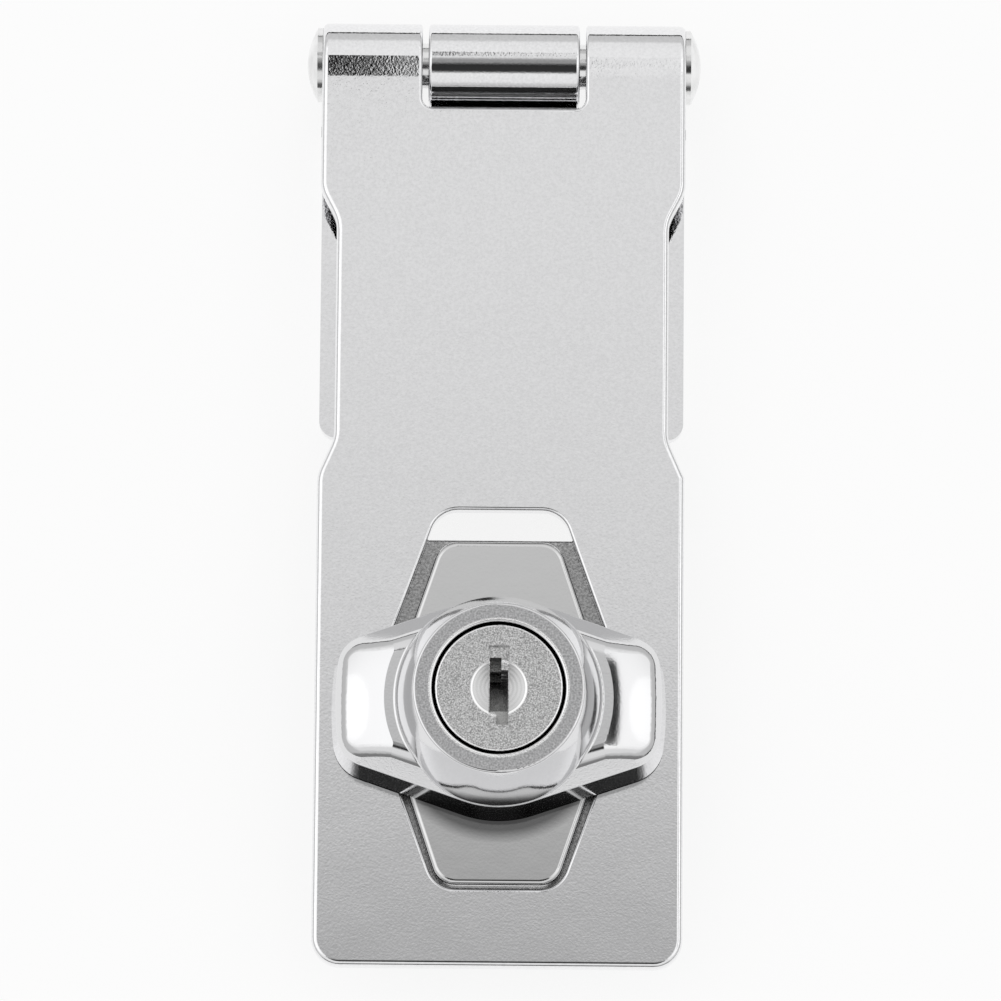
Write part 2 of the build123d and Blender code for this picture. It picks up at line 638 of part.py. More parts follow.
def wafer_slot(index):
    """The slot across the plug for one wafer, with the side pocket for its spring."""
    half_width = WAFER_WIDTH / 2 + WAFER_PLAY
    half_thickness = WAFER_THICKNESS / 2 + WAFER_PLAY
    z_range = (wafer_z(index) - half_thickness, wafer_z(index) + half_thickness)
    across = block((-half_width, half_width), (-PLUG_RADIUS - 1, PLUG_RADIUS + 1), z_range)
    pocket_x = WAFER_WIDTH / 2 + WAFER_TAB_REACH + 2 * WAFER_PLAY
    return across + block((half_width - 0.1, pocket_x), (spring_low_y(), -spring_low_y()), z_range)


def spring_low_y():
    """The floor of a spring pocket, below the tab by the spring's length and travel."""
    return -SPRING_LENGTH - WAFER_TAB_HEIGHT / 2


def plug():
    """The key plug: headed barrel with wafer slots, keyway and eccentric drive pin."""
    body = drum(PLUG_HEAD_RADIUS, PLUG_SHOULDER_Z, PLUG_FACE_Z)
    body = fillet(edges_at(body, PLUG_FACE_Z), PLUG_FACE_ROUND)
    body += drum(PLUG_RADIUS, PLUG_END_Z, PLUG_SHOULDER_Z)
    body += drum(DRIVE_PIN_RADIUS, DRIVE_PIN_END_Z, PLUG_END_Z, 0, DRIVE_ECCENTRICITY)
    ball = (DIMPLE_RADIUS ** 2 + DIMPLE_DEPTH ** 2) / (2 * DIMPLE_DEPTH)
    body -= Pos(0, 0, PLUG_FACE_Z - DIMPLE_DEPTH + ball) * Sphere(ball)
    body -= [wafer_slot(i) for i in range(WAFER_COUNT + 1)]
    return body - keyway()


def wafer(index):
    """One wafer: a round-ended plate with the key's window and a tab for its spring."""
    disc = Circle(PLUG_RADIUS - WAFER_PLAY) & Rectangle(WAFER_WIDTH, WAFER_LENGTH)
    tab_reach = WAFER_WIDTH / 2 + WAFER_TAB_REACH
    disc += Pos(tab_reach / 2) * Rectangle(tab_reach, WAFER_TAB_HEIGHT)
    if index < WAFER_COUNT:
        window = RectangleRounded(WAFER_WINDOW_WIDTH, WAFER_WINDOW_LENGTH, WAFER_WINDOW_CORNER)
        disc -= Pos(0, WAFER_LIFTS[index]) * window
    else:
        reach = PLUG_RADIUS + RETAINER_REACH
        disc += Pos(0, reach / 2) * Rectangle(WAFER_WIDTH / 2, reach)
    half = WAFER_THICKNESS / 2
    return prism(disc, wafer_z(index) - half, wafer_z(index) + half)


def wafer_spring(index):
    """The small coil spring under one wafer's tab, standing along Y in its pocket."""
    coil_radius = (SPRING_DIAMETER - SPRING_WIRE) / 2
    pitch = (SPRING_LENGTH - 2 * SPRING_WIRE) / SPRING_TURNS
    path = Helix(pitch, pitch * SPRING_TURNS, coil_radius)
    arc = 360 / SPRING_ARCS
    section = make_face([CenterArc((0, 0), SPRING_WIRE / 2, i * arc, arc) for i in range(SPRING_ARCS)])
    wire = sweep(Plane(path @ 0, z_dir=path % 0) * section, path=path)
    upright = Rot(-90, 0, 0) * wire
    tab_x = WAFER_WIDTH / 2 + WAFER_TAB_REACH / 2 + WAFER_PLAY
    return Pos(tab_x, spring_low_y() + 1.5 * SPRING_WIRE, wafer_z(index)) * upright


def locking_bolt():
    """The flat bolt in the shank, round-ended to match it, slotted for the drive pin."""
    width = BOLT_WIDTH
    outline = Circle(SHANK_RADIUS - BOLT_PLAY) & Pos(0, -SHANK_RADIUS / 2) * Rectangle(width, SHANK_RADIUS)
    outline += Pos(0, BOLT_REAR_Y / 2) * Rectangle(width, BOLT_REAR_Y)
    slot_length = 2 * (DRIVE_ECCENTRICITY + DRIVE_PIN_RADIUS + BOLT_PLAY)
    slot_width = 2 * (DRIVE_PIN_RADIUS + BOLT_SLOT_CLEARANCE)
    outline -= Pos(0, DRIVE_ECCENTRICITY) * SlotOverall(slot_length, slot_width)
    return prism(outline, BOLT_Z, BOLT_Z + BOLT_THICKNESS)


def all_parts():
    """Every piece of the lock by name."""
    parts = {
        "fixed_leaf": fixed_leaf(),
        "hasp_leaf": hasp_leaf(),
        "hinge_pin": hinge_pin(),
        "lock_base": lock_base(),
        "knob": knob(),
        "circlip": circlip(),
        "plug": plug(),
        "locking_bolt": locking_bolt(),
        "retainer_wafer": wafer(WAFER_COUNT),
        "retainer_spring": wafer_spring(WAFER_COUNT),
    }
    for i in range(WAFER_COUNT):
        parts[f"wafer_{i + 1}"] = wafer(i)
        parts[f"wafer_spring_{i + 1}"] = wafer_spring(i)
    return parts


if __name__ == "__main__":
    os.makedirs("parts", exist_ok=True)
    for name, solid in all_parts().items():
        export_step(solid, f"parts/{name}.step")
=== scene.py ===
"""Looks of a keyed hasp lock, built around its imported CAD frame.

The lock lies on its back on a pale studio floor and is seen from above its front edge. Every CAD
node keeps its shape and gets the finish of the real piece. The coil springs under the wafers are
drawn anew as wound wire.
"""

import logging
import math
from dataclasses import dataclass
from enum import Enum
from typing import Any

import bpy
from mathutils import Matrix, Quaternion, Vector


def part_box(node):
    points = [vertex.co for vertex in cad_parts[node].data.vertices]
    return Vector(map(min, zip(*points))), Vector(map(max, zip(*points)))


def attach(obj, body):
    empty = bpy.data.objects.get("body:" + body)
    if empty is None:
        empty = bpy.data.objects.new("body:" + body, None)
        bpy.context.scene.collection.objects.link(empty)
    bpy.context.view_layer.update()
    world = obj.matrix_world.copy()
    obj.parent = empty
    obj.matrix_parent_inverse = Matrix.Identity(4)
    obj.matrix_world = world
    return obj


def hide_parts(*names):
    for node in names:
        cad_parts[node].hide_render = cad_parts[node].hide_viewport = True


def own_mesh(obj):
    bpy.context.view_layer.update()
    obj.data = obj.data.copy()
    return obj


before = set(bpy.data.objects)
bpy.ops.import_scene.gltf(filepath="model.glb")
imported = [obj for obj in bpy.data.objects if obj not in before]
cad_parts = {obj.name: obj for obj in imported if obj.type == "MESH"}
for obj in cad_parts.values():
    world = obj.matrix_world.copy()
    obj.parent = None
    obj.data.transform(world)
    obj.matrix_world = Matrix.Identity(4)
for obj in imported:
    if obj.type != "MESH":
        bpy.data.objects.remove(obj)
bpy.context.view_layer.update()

LOG = logging.getLogger("hasp_lock")
MM = 0.001
MICRON = 0.000001
# How far apart the usual lowest and highest levels of the noise texture are.
NOISE_SWING = 0.4
FULL_TURN = 2 * math.pi

Socket = bpy.types.NodeSocket
Tree = bpy.types.NodeTree


class Body(Enum):
    """The bodies of the frame that pieces made here ride on."""

    PLUG = "plug"


class Slot(Enum):
    """Material slots for pieces made here, which nothing in this script reads."""

    SPRING_WIRE = "spring_wire"


def linear(colour: str) -> tuple[float, float, float, float]:
    """Turns an sRGB hex colour into a linear one.

    Args:
        colour: Six hex digits after a hash.

    Returns:
        Red, green, blue and full alpha.
    """
    channels = [int(colour[start:start + 2], 16) / 255 for start in (1, 3, 5)]
    red, green, blue = (c / 12.92 if c <= 0.04045 else ((c + 0.055) / 1.055) ** 2.4 for c in channels)
    return red, green, blue, 1.0


def add(tree: Tree, kind: str, inputs: dict[str | int, Any] | None = None,
        stops: list[tuple[float, float]] | None = None, **settings: Any) -> bpy.types.Node:
    """Adds a node with its settings, its input values and its links.

    Args:
        tree: The node tree that gets the node.
        kind: The node's type name.
        inputs: A value, or a socket to link from, for each input by name or place.
        stops: Place and grey level of each stop, for a colour ramp.
        **settings: The node's own properties.

    Returns:
        The new node.
    """
    node = tree.nodes.new(kind)
    for name, value in settings.items():
        setattr(node, name, value)
    for key, value in (inputs or {}).items():
        if isinstance(value, Socket):
            tree.links.new(value, node.inputs[key])
        else:
            node.inputs[key].default_value = value
    for index, (place, level) in enumerate(stops or []):
        elements = node.color_ramp.elements
        element = elements[index] if index < len(elements) else elements.new(place)
        element.position = place
        element.color = (level, level, level, 1.0)
    return node


def within(tree: Tree, value: Socket, low: float, high: float, softness: float) -> Socket:
    """Tells where a value lies between two limits.

    Args:
        tree: The node tree that gets the nodes.
        value: What is compared.
        low: The lower limit.
        high: The upper limit.
        softness: How wide each soft end is.

    Returns:
        1 between the limits, 0 beyond them.
    """
    away = add(tree, "ShaderNodeMath", {0: value, 1: (low + high) / 2}, operation="SUBTRACT")
    distance = add(tree, "ShaderNodeMath", {0: away.outputs[0]}, operation="ABSOLUTE")
    return add(tree, "ShaderNodeMapRange", {
        "Value": distance.outputs[0],
        "From Min": (high - low + softness) / 2,
        "From Max": (high - low - softness) / 2,
    }).outputs["Result"]


def from_axis(tree: Tree, place: Socket) -> Socket:
    """Tells how far a point is from the knob's axis.

    Args:
        tree: The node tree that gets the nodes.
        place: Where on the piece, in metres.

    Returns:
        Its distance, in metres.
    """
    flat = add(tree, "ShaderNodeVectorMath", {0: place, 1: (1.0, 1.0, 0.0)}, operation="MULTIPLY")
    length = add(tree, "ShaderNodeVectorMath", {0: flat.outputs["Vector"]}, operation="LENGTH")
    return length.outputs["Value"]


def product(tree: Tree, first: Socket, second: Socket | float) -> Socket:
    """Multiplies two values, which for two shares tells where both hold.

    Args:
        tree: The node tree that gets the node.
        first: One value.
        second: The other one.

    Returns:
        Their product.
    """
    return add(tree, "ShaderNodeMath", {0: first, 1: second}, operation="MULTIPLY").outputs[0]


def spread(tree: Tree, level: Socket) -> Socket:
    """Stretches a pattern that stays near one half over the whole range from 0 to 1.

    Args:
        tree: The node tree that gets the node.
        level: The pattern.

    Returns:
        The stretched pattern.
    """
    return add(tree, "ShaderNodeMapRange", {
        "Value": level,
        "From Min": 0.5 - NOISE_SWING / 2,
        "From Max": 0.5 + NOISE_SWING / 2,
    }).outputs["Result"]


@dataclass(frozen=True)
class Zone:
    """A ring round the knob's axis, between two heights, where a finish changes.

    Args:
        bottom: Its lowest height.
        top: Its highest height.
        inner: Its inner radius.
        outer: Its outer radius.
        softness: How wide its soft edge is.
    """

    bottom: float
    top: float
    inner: float = -1 * MM
    outer: float = 100 * MM
    softness: float = 0.06 * MM

    def share(self, tree: Tree, place: Socket) -> Socket:
        """Tells how much of a point lies in the zone.

        Args:
            tree: The material's tree.
            place: Where on the piece, in metres.

        Returns:
            1 inside and 0 outside.
        """
        height = add(tree, "ShaderNodeSeparateXYZ", {"Vector": place}).outputs["Z"]
        ring = within(tree, from_axis(tree, place), self.inner, self.outer, self.softness)
        return product(tree, ring, within(tree, height, self.bottom, self.top, self.softness))


@dataclass(frozen=True)
class Relief:
    """One scale of unevenness in a surface.

    Args:
        cell_mm: How wide one hump is.
        height_um: How far it rises.
        detail: How many finer layers it carries.
        distortion: How far its outline wanders.
        stretch: How much longer a hump is along each axis.
    """

    cell_mm: float
    height_um: float
    detail: float = 1.0
    distortion: float = 0.0
    stretch: tuple[float, float, float] = (1.0, 1.0, 1.0)

    def height(self, tree: Tree, place: Socket) -> Socket:
        """Adds the noise of this relief.

        Args:
            tree: The material's tree.
            place: Where on the piece, in metres.

        Returns:
            The relief's level, near one half.
        """
        drawn = add(tree, "ShaderNodeVectorMath", {0: place, 1: self.stretch}, operation="DIVIDE")
        noise = add(tree, "ShaderNodeTexNoise", {
            "Vector": drawn.outputs["Vector"],
            "Scale": 1 / (self.cell_mm * MM),
            "Detail": self.detail,
            "Distortion": self.distortion,
        })
        return noise.outputs["Fac"]

    def carve(self, tree: Tree, place: Socket, under: Socket | None = None,
              share: Socket | float = 1.0) -> Socket:
        """Adds this relief to a surface's normal.

        Args:
            tree: The material's tree.
            place: Where on the piece, in metres.
            under: The normal that the relief lies on.
            share: How much of the relief shows, from 0 to 1.

        Returns:
            The uneven normal.
        """
        inputs: dict[str | int, Any] = {
            "Strength": share,
            "Distance": self.height_um * MICRON / NOISE_SWING,
            "Height": self.height(tree, place),
        }
        if under is not None:
            inputs["Normal"] = under
        return add(tree, "ShaderNodeBump", inputs).outputs["Normal"]


@dataclass(frozen=True)
class Finish:
    """A finish of the lock: what it is called and how its surface answers light.

    Args:
        name: The material's name.
        colour: Its colour as sRGB hex.
        roughness: Its roughness where nothing changes it.
        metallic: 1 for bare metal.
    """

    name: str
    colour: str
    roughness: float
    metallic: float = 1.0

    def material(self) -> bpy.types.Material:
        """Builds the material, or gives the one already built.

        Returns:
            The material, ready for an object's slot.
        """
        if self.name in bpy.data.materials:
            return bpy.data.materials[self.name]
        material = bpy.data.materials.new(self.name)
        material.use_nodes = True
        tree = material.node_tree
        shader = tree.nodes["Principled BSDF"]
        shader.inputs["Base Color"].default_value = linear(self.colour)
        shader.inputs["Metallic"].default_value = self.metallic
        shader.inputs["Roughness"].default_value = self.roughness
        place = add(tree, "ShaderNodeTexCoord").outputs["Object"]
        self.dress(tree, shader, place)
        return material

    def dress(self, tree: Tree, shader: bpy.types.Node, place: Socket) -> None:
        """Adds the finish's own pattern.

        Args:
            tree: The material's tree.
            shader: Its surface shader.
            place: Where on the piece, in metres.
        """
        raise NotImplementedError

    def change(self, tree: Tree, shader: bpy.types.Node, share: Socket, colour: str,
               roughness: float) -> None:
        """Lets the surface pass to another colour and roughness where a share says so.

        Args:
            tree: The material's tree.
            shader: Its surface shader.
            share: How far it has passed, from 0 to 1.
            colour: The sRGB hex colour that it passes to.
            roughness: The roughness that it passes to.
        """
        for name, kind, value in (("Base Color", "RGBA", linear(colour)), ("Roughness", "FLOAT", roughness)):
            held = shader.inputs[name]
            before = held.links[0].from_socket if held.is_linked else held.default_value
            passed = add(tree, "ShaderNodeMix", {"Factor": share, "A": before, "B": value}, data_type=kind)
            tree.links.new(passed.outputs["Result"], held)

    def vary(self, tree: Tree, shader: bpy.types.Node, level: Socket, colour: str,
             roughness: float) -> None:
        """Lets the surface follow a pattern from its own look to another.

        Args:
            tree: The material's tree.
            shader: Its surface shader.
            level: The pattern, near one half.
            colour: The sRGB hex colour on its humps.
            roughness: The roughness on its humps.
        """
        self.change(tree, shader, spread(tree, level), colour, roughness)


@dataclass(frozen=True)
class SheetChrome(Finish):
    """Bright chrome plate on cold-rolled steel sheet, plated without polishing.

    It mirrors the room, but the sheet's own orange peel breaks every edge of the mirror image into
    fine grain, and its slow waves bend the larger shapes. The long leaf dips a little before its
    knuckles, where the roll began. The sheared wall of its notch is painted dark grey: painted shade
    that stands in for a dark mirror image.
    """

    dip: float = 0.0
    dip_start: float = 68.3 * MM
    dip_end: float = 71.5 * MM
    sheared: Zone = Zone(7.2 * MM, 8.5 * MM, 64.7 * MM, 65.8 * MM, 0.1 * MM)
    sheared_shade_colour: str = "#343434"
    sheared_shade_roughness: float = 0.5
    peel: Relief = Relief(0.22, 1.2)
    wave: Relief = Relief(7.0, 4.0)
    speck: Relief = Relief(0.3, 1.0, 2.0)
    speck_colour: str = "#F4F4F5"
    speck_roughness: float = 0.03

    def dress(self, tree: Tree, shader: bpy.types.Node, place: Socket) -> None:
        """Adds the dip, orange peel, slow waves, the fine specks of the plate and the painted shade on the
        sheared wall.
        """
        drop = add(tree, "ShaderNodeMapRange", {
            "Value": add(tree, "ShaderNodeSeparateXYZ", {"Vector": place}).outputs["Y"],
            "From Min": self.dip_end,
            "From Max": self.dip_start,
        }, interpolation_type="SMOOTHSTEP").outputs["Result"]
        dipped = add(tree, "ShaderNodeBump", {"Distance": self.dip, "Height": drop}).outputs["Normal"]
        waves = self.wave.carve(tree, place, dipped)
        tree.links.new(self.peel.carve(tree, place, waves), shader.inputs["Normal"])
        self.vary(tree, shader, self.speck.height(tree, place), self.speck_colour, self.speck_roughness)
        # Painted shade: the sheared wall of the notch is coloured dark grey in place of a dark mirror image.
        sheared = self.sheared.share(tree, place)
        self.change(tree, shader, sheared, self.sheared_shade_colour, self.sheared_shade_roughness)


@dataclass(frozen=True)
class KnobChrome(Finish):
    """Chrome over polished die-cast metal on the knob.

    Polishing leaves long soft streaks down the dome. The ring round the plug was only faced, so it
    is matt, and its inner lip is painted white as a highlight. The bore behind it is painted black
    as shade, so that the thin gap round the plug reads dark. The end of the shank, which nobody sees
    once the lock is on, shows the torn grain of the gate that it was broken from.
    """

    wave: Relief = Relief(1.2, 0.4, stretch=(1.0, 1.0, 6.0))
    peel: Relief = Relief(0.22, 0.7)
    faced: Zone = Zone(23.93 * MM, 24.1 * MM, 7.12 * MM, 8.6 * MM)
    faced_grain: Relief = Relief(0.2, 5.0)
    faced_colour: str = "#9E9E9F"
    faced_roughness: float = 0.36
    faced_speck: Relief = Relief(0.2, 1.0)
    faced_speck_colour: str = "#CDCDCE"
    lip: Zone = Zone(23.5 * MM, 24.1 * MM, 7.0 * MM, 7.3 * MM)
    lip_highlight_colour: str = "#FFFFFF"
    lip_highlight_roughness: float = 0.12
    bore: Zone = Zone(21.0 * MM, 23.62 * MM, -1 * MM, 7.2 * MM)
    bore_shade_colour: str = "#0E0E0E"
    bore_shade_roughness: float = 0.5
    shank_end: Zone = Zone(0.5 * MM, 1.6 * MM, -1 * MM, 6.1 * MM, 0.3 * MM)
    torn: Relief = Relief(0.8, 34.0, 3.0, 1.2, (1.6, 1.0, 1.0))
    torn_colour: str = "#BDBDBC"
    torn_roughness: float = 0.42
    nick: Relief = Relief(0.5, 1.0, 2.0, 0.8, (2.5, 1.0, 1.0))
    nick_range: tuple[float, float] = (0.70, 0.76)
    nick_colour: str = "#2E2E2E"

    def dress(self, tree: Tree, shader: bpy.types.Node, place: Socket) -> None:
        """Adds polishing streaks, the faced ring, the painted highlight on its lip, the painted shade in the
        bore and the torn shank end.
        """
        faced, bore, torn, lip = (
            zone.share(tree, place) for zone in (self.faced, self.bore, self.shank_end, self.lip))
        normal = self.peel.carve(tree, place, self.wave.carve(tree, place))
        normal = self.faced_grain.carve(tree, place, normal, faced)
        tree.links.new(self.torn.carve(tree, place, normal, torn), shader.inputs["Normal"])
        self.change(tree, shader, faced, self.faced_colour, self.faced_roughness)
        specks = product(tree, spread(tree, self.faced_speck.height(tree, place)), faced)
        self.change(tree, shader, specks, self.faced_speck_colour, self.faced_roughness)
        # Painted highlight: the inner lip of the faced ring is coloured white.
        self.change(tree, shader, lip, self.lip_highlight_colour, self.lip_highlight_roughness)
        # Painted shade: the bore is coloured near black, so the thin gap round the plug reads dark.
        self.change(tree, shader, bore, self.bore_shade_colour, self.bore_shade_roughness)
        self.change(tree, shader, torn, self.torn_colour, self.torn_roughness)
        low, high = self.nick_range
        deep = add(tree, "ShaderNodeMapRange", {
            "Value": self.nick.height(tree, place),
            "From Min": low,
            "From Max": high,
        }).outputs["Result"]
        self.change(tree, shader, product(tree, deep, torn), self.nick_colour, self.torn_roughness)


@dataclass(frozen=True)
class RivetChrome(Finish):
    """Chrome plate on a cold-headed steel rivet, tumbled smooth.

    Its heads mirror the bright room almost without grain.
    """

    dents: Relief = Relief(1.8, 2.0, 2.0)
    dull_colour: str = "#E2E2E2"
    dull_roughness: float = 0.2

    def dress(self, tree: Tree, shader: bpy.types.Node, place: Socket) -> None:
        """Adds the shallow dents of tumbling."""
        tree.links.new(self.dents.carve(tree, place), shader.inputs["Normal"])
        self.vary(tree, shader, self.dents.height(tree, place), self.dull_colour, self.dull_roughness)


@dataclass(frozen=True)
class CastChrome(Finish):
    """Thin chrome over a zinc die casting, buffed on the boss and as cast elsewhere.

    The boss is nearly a mirror, and the flange round it and the outer walls keep a stippled grain.
    Behind, the rim that lay in the die's parting sparkles with flow marks, and the hollow is
    smooth and cloudy. A soft shade just below the knob stands in for the knob's dark mirror image,
    which the boss of the real lock shows there.
    """

    boss: Zone = Zone(8.2 * MM, 12.0 * MM, softness=0.4 * MM)
    boss_colour: str = "#DADADA"
    boss_roughness: float = 0.06
    buffed_wave: Relief = Relief(2.6, 1.6)
    fine_wave: Relief = Relief(0.3, 0.5)
    front: Zone = Zone(5.9 * MM, 8.2 * MM, softness=0.4 * MM)
    stipple: Relief = Relief(0.24, 9.0)
    stipple_colour: str = "#8C8C8C"
    shade: Zone = Zone(8.2 * MM, 12.0 * MM, outer=12.1 * MM, softness=1.4 * MM)
    shade_drop: float = 1.2 * MM
    shade_colour: str = "#7E7E7E"
    hollow: Zone = Zone(0.35 * MM, 5.9 * MM, softness=0.2 * MM)
    hollow_roughness: float = 0.24
    hollow_flow: Relief = Relief(1.6, 5.0, 3.0, 1.5)
    cloud: Relief = Relief(3.0, 1.0, 4.0, 1.2)
    cloud_colours: tuple[str, str] = ("#9C9C9C", "#DADADA")
    rim: Zone = Zone(-1.0 * MM, 0.35 * MM, softness=0.2 * MM)
    rim_colour: str = "#F4F4F4"
    rim_roughness: float = 0.2
    rim_flow: Relief = Relief(0.5, 9.0, 2.0, 2.0)
    rim_dull_colour: str = "#BCBCBC"
    wall_inside: float = 18.4 * MM
    wall_softness: float = 0.4 * MM

    def inside(self, tree: Tree, place: Socket) -> Socket:
        """Tells how much of a point lies inside the outer walls.

        Args:
            tree: The material's tree.
            place: Where on the piece, in metres.

        Returns:
            1 inside them and 0 on their outer faces.
        """
        sizes = add(tree, "ShaderNodeVectorMath", {0: place}, operation="ABSOLUTE").outputs["Vector"]
        axes = add(tree, "ShaderNodeSeparateXYZ", {"Vector": sizes}).outputs
        reach = add(tree, "ShaderNodeMath", {0: axes["X"], 1: axes["Y"]}, operation="MAXIMUM").outputs[0]
        return within(tree, reach, -self.wall_inside, self.wall_inside, self.wall_softness)

    def dress(self, tree: Tree, shader: bpy.types.Node, place: Socket) -> None:
        """Adds the buffed boss, the stippled flange, the cloudy hollow and the sparkling rim."""
        boss, front, hollow, rim = (
            zone.share(tree, place) for zone in (self.boss, self.front, self.hollow, self.rim))
        inside = self.inside(tree, place)
        hollow = product(tree, hollow, inside)
        outside = add(tree, "ShaderNodeMath", {0: 1.0, 1: inside}, operation="SUBTRACT").outputs[0]
        front = add(tree, "ShaderNodeMath", {0: front, 1: outside}, operation="MAXIMUM").outputs[0]
        normal = self.fine_wave.carve(tree, place, self.buffed_wave.carve(tree, place))
        normal = self.stipple.carve(tree, place, normal, front)
        normal = self.hollow_flow.carve(tree, place, normal, hollow)
        tree.links.new(self.rim_flow.carve(tree, place, normal, rim), shader.inputs["Normal"])
        pitted = spread(tree, self.stipple.height(tree, place))
        self.change(tree, shader, product(tree, pitted, front), self.stipple_colour, self.roughness)
        self.change(tree, shader, boss, self.boss_colour, self.boss_roughness)
        raised = add(tree, "ShaderNodeVectorMath", {0: place, 1: (0.0, self.shade_drop, 0.0)},
                     operation="ADD").outputs["Vector"]
        self.change(tree, shader, self.shade.share(tree, raised), self.shade_colour, self.boss_roughness)
        self.change(tree, shader, rim, self.rim_colour, self.rim_roughness)
        flowed = spread(tree, self.rim_flow.height(tree, place))
        self.change(tree, shader, product(tree, flowed, rim), self.rim_dull_colour, self.rim_roughness)
        dull, bright = self.cloud_colours
        self.change(tree, shader, hollow, dull, self.hollow_roughness)
        clouds = spread(tree, self.cloud.height(tree, place))
        self.change(tree, shader, product(tree, clouds, hollow), bright, self.hollow_roughness)


@dataclass(frozen=True)
class BlastedNickel(Finish):
    """Bead-blasted nickel on the plug's face, with the dimple round the key's way turned bright.

    Blasting gives an even grey sparkle without any mirror image. Real grit marks are finer than the
    render can show, so they are drawn as coarse as they need to be. The turning tool left rings in
    the dimple that catch the light as arcs, and its lip and the plug's edge are painted white as a
    highlight. The plug's side and the lower half of the key's way are painted black as shade. The
    plug's side and the lower half of the key's way are drawn black, because they look so in the
    photograph, whether from grease or from shade.
    """

    grit: Relief = Relief(0.14, 7.0)
    speck: Relief = Relief(0.14, 1.0)
    speck_colour: str = "#E8E8E8"
    dimple: Zone = Zone(23.5 * MM, 24.0 * MM, -1 * MM, 2.95 * MM)
    ring_width: float = 0.42 * MM
    ring_height: float = 1.6 * MICRON
    turned_colour: str = "#CECECE"
    turned_roughness: float = 0.16
    dimple_lip: Zone = Zone(23.4 * MM, 24.0 * MM, 2.72 * MM, 2.98 * MM)
    lip_highlight_colour: str = "#FFFFFF"
    lip_highlight_roughness: float = 0.1
    edge: Zone = Zone(23.6 * MM, 24.0 * MM, 6.42 * MM, 7.0 * MM)
    side: Zone = Zone(21.0 * MM, 23.62 * MM, 6.3 * MM, 7.0 * MM)
    keyway: Zone = Zone(0.0, 23.38 * MM, -1 * MM, 4.3 * MM)
    keyway_shade_line: float = 0.3 * MM
    black_shade_colour: str = "#101010"
    black_shade_roughness: float = 0.45

    def dress(self, tree: Tree, shader: bpy.types.Node, place: Socket) -> None:
        """Adds the blasted grit, the turned dimple and edge with their painted highlight, and the painted
        shade on the side and keyway.
        """
        turned, lip, edge, side, keyway = (zone.share(tree, place) for zone in (
            self.dimple, self.dimple_lip, self.edge, self.side, self.keyway))
        blasted = add(tree, "ShaderNodeMath", {0: 1.0, 1: turned}, operation="SUBTRACT").outputs[0]
        phase = product(tree, from_axis(tree, place), FULL_TURN / self.ring_width)
        ringed = add(tree, "ShaderNodeBump", {
            "Strength": turned,
            "Distance": self.ring_height,
            "Height": add(tree, "ShaderNodeMath", {0: phase}, operation="SINE").outputs[0],
        }).outputs["Normal"]
        tree.links.new(self.grit.carve(tree, place, ringed, blasted), shader.inputs["Normal"])
        self.vary(tree, shader, self.speck.height(tree, place), self.speck_colour, self.roughness)
        self.change(tree, shader, turned, self.turned_colour, self.turned_roughness)
        # Painted highlight: the dimple's lip and the plug's edge are coloured white.
        for share in (lip, edge):
            self.change(tree, shader, share, self.lip_highlight_colour, self.lip_highlight_roughness)
        # Painted shade: the plug's side and the lower half of the key's way are coloured near black.
        lower_half = add(tree, "ShaderNodeMapRange", {
            "Value": add(tree, "ShaderNodeSeparateXYZ", {"Vector": place}).outputs["Y"],
            "From Min": self.keyway_shade_line,
            "From Max": -self.keyway_shade_line,
        }).outputs["Result"]
        for share in (side, product(tree, keyway, lower_half)):
            self.change(tree, shader, share, self.black_shade_colour, self.black_shade_roughness)


@dataclass(frozen=True)
class GrainedMetal(Finish):
    """A small metal piece with one even grain, such as a stamped, drawn or cast one.

    The grain keeps its flat faces from reading as one flat tone.
    """

    grain: Relief = Relief(0.25, 3.0, 2.0)
    dull_share: float = 1.25

    def dress(self, tree: Tree, shader: bpy.types.Node, place: Socket) -> None:
        """Adds the grain to the normal and to the roughness."""
        tree.links.new(self.grain.carve(tree, place), shader.inputs["Normal"])
        level = self.grain.height(tree, place)
        self.vary(tree, shader, level, self.colour, self.roughness * self.dull_share)


# Chrome plate on steel sheet: a mirror broken up by orange peel and specks.
SHEET_CHROME = SheetChrome("chrome_plate_on_rolled_steel", "#EAEAEB", 0.07)
# The same on the long leaf, whose mirror image bends where the sheet dips before its knuckles.
CURLED_CHROME = SheetChrome("chrome_plate_on_curled_steel", "#EAEAEB", 0.07, dip=0.17 * MM)
# Chrome on polished zinc: a clear mirror with soft streaks.
KNOB_CHROME = KnobChrome("chrome_plate_on_polished_zinc", "#E2E2E3", 0.09)
# Chrome on a headed rivet: smooth and bright.
RIVET_CHROME = RivetChrome("chrome_plate_on_headed_rivet", "#F2F2F2", 0.10)
# Thin chrome on a zinc casting: stippled outside, cloudy and dull behind.
CAST_CHROME = CastChrome("thin_chrome_on_zinc_casting", "#BCBCBC", 0.30)
# Blasted nickel: an even grey sparkle.
BLASTED_NICKEL = BlastedNickel("bead_blasted_nickel", "#909090", 0.40)
# Black oxide on spring steel: dark, with a dull oily sheen.
BLACK_OXIDE = GrainedMetal("black_oxide_on_spring_steel", "#2B2B2C", 0.34, 0.6)
# Machined zinc: light, with faint grain.
BOLT_ZINC = GrainedMetal("plated_zinc_bolt", "#D8D8D8", 0.20)
# Nickel on stamped brass: pale and almost neutral.
WAFER_NICKEL = GrainedMetal("nickel_plate_on_stamped_brass", "#BCBCBB", 0.24)
# Drawn spring wire: bright along the drawing.
WIRE_STEEL = GrainedMetal("drawn_spring_wire", "#C9C9CA", 0.22, 1.0, Relief(0.12, 1.0))


def finish_node(name: str, finish: Finish) -> None:
    """Gives a CAD node its finish.

    Args:
        name: The node.
        finish: What its material slots get.
    """
    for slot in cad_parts[name].material_slots:
        slot.material = finish.material()
    LOG.info("%s wears %s", name, finish.name)


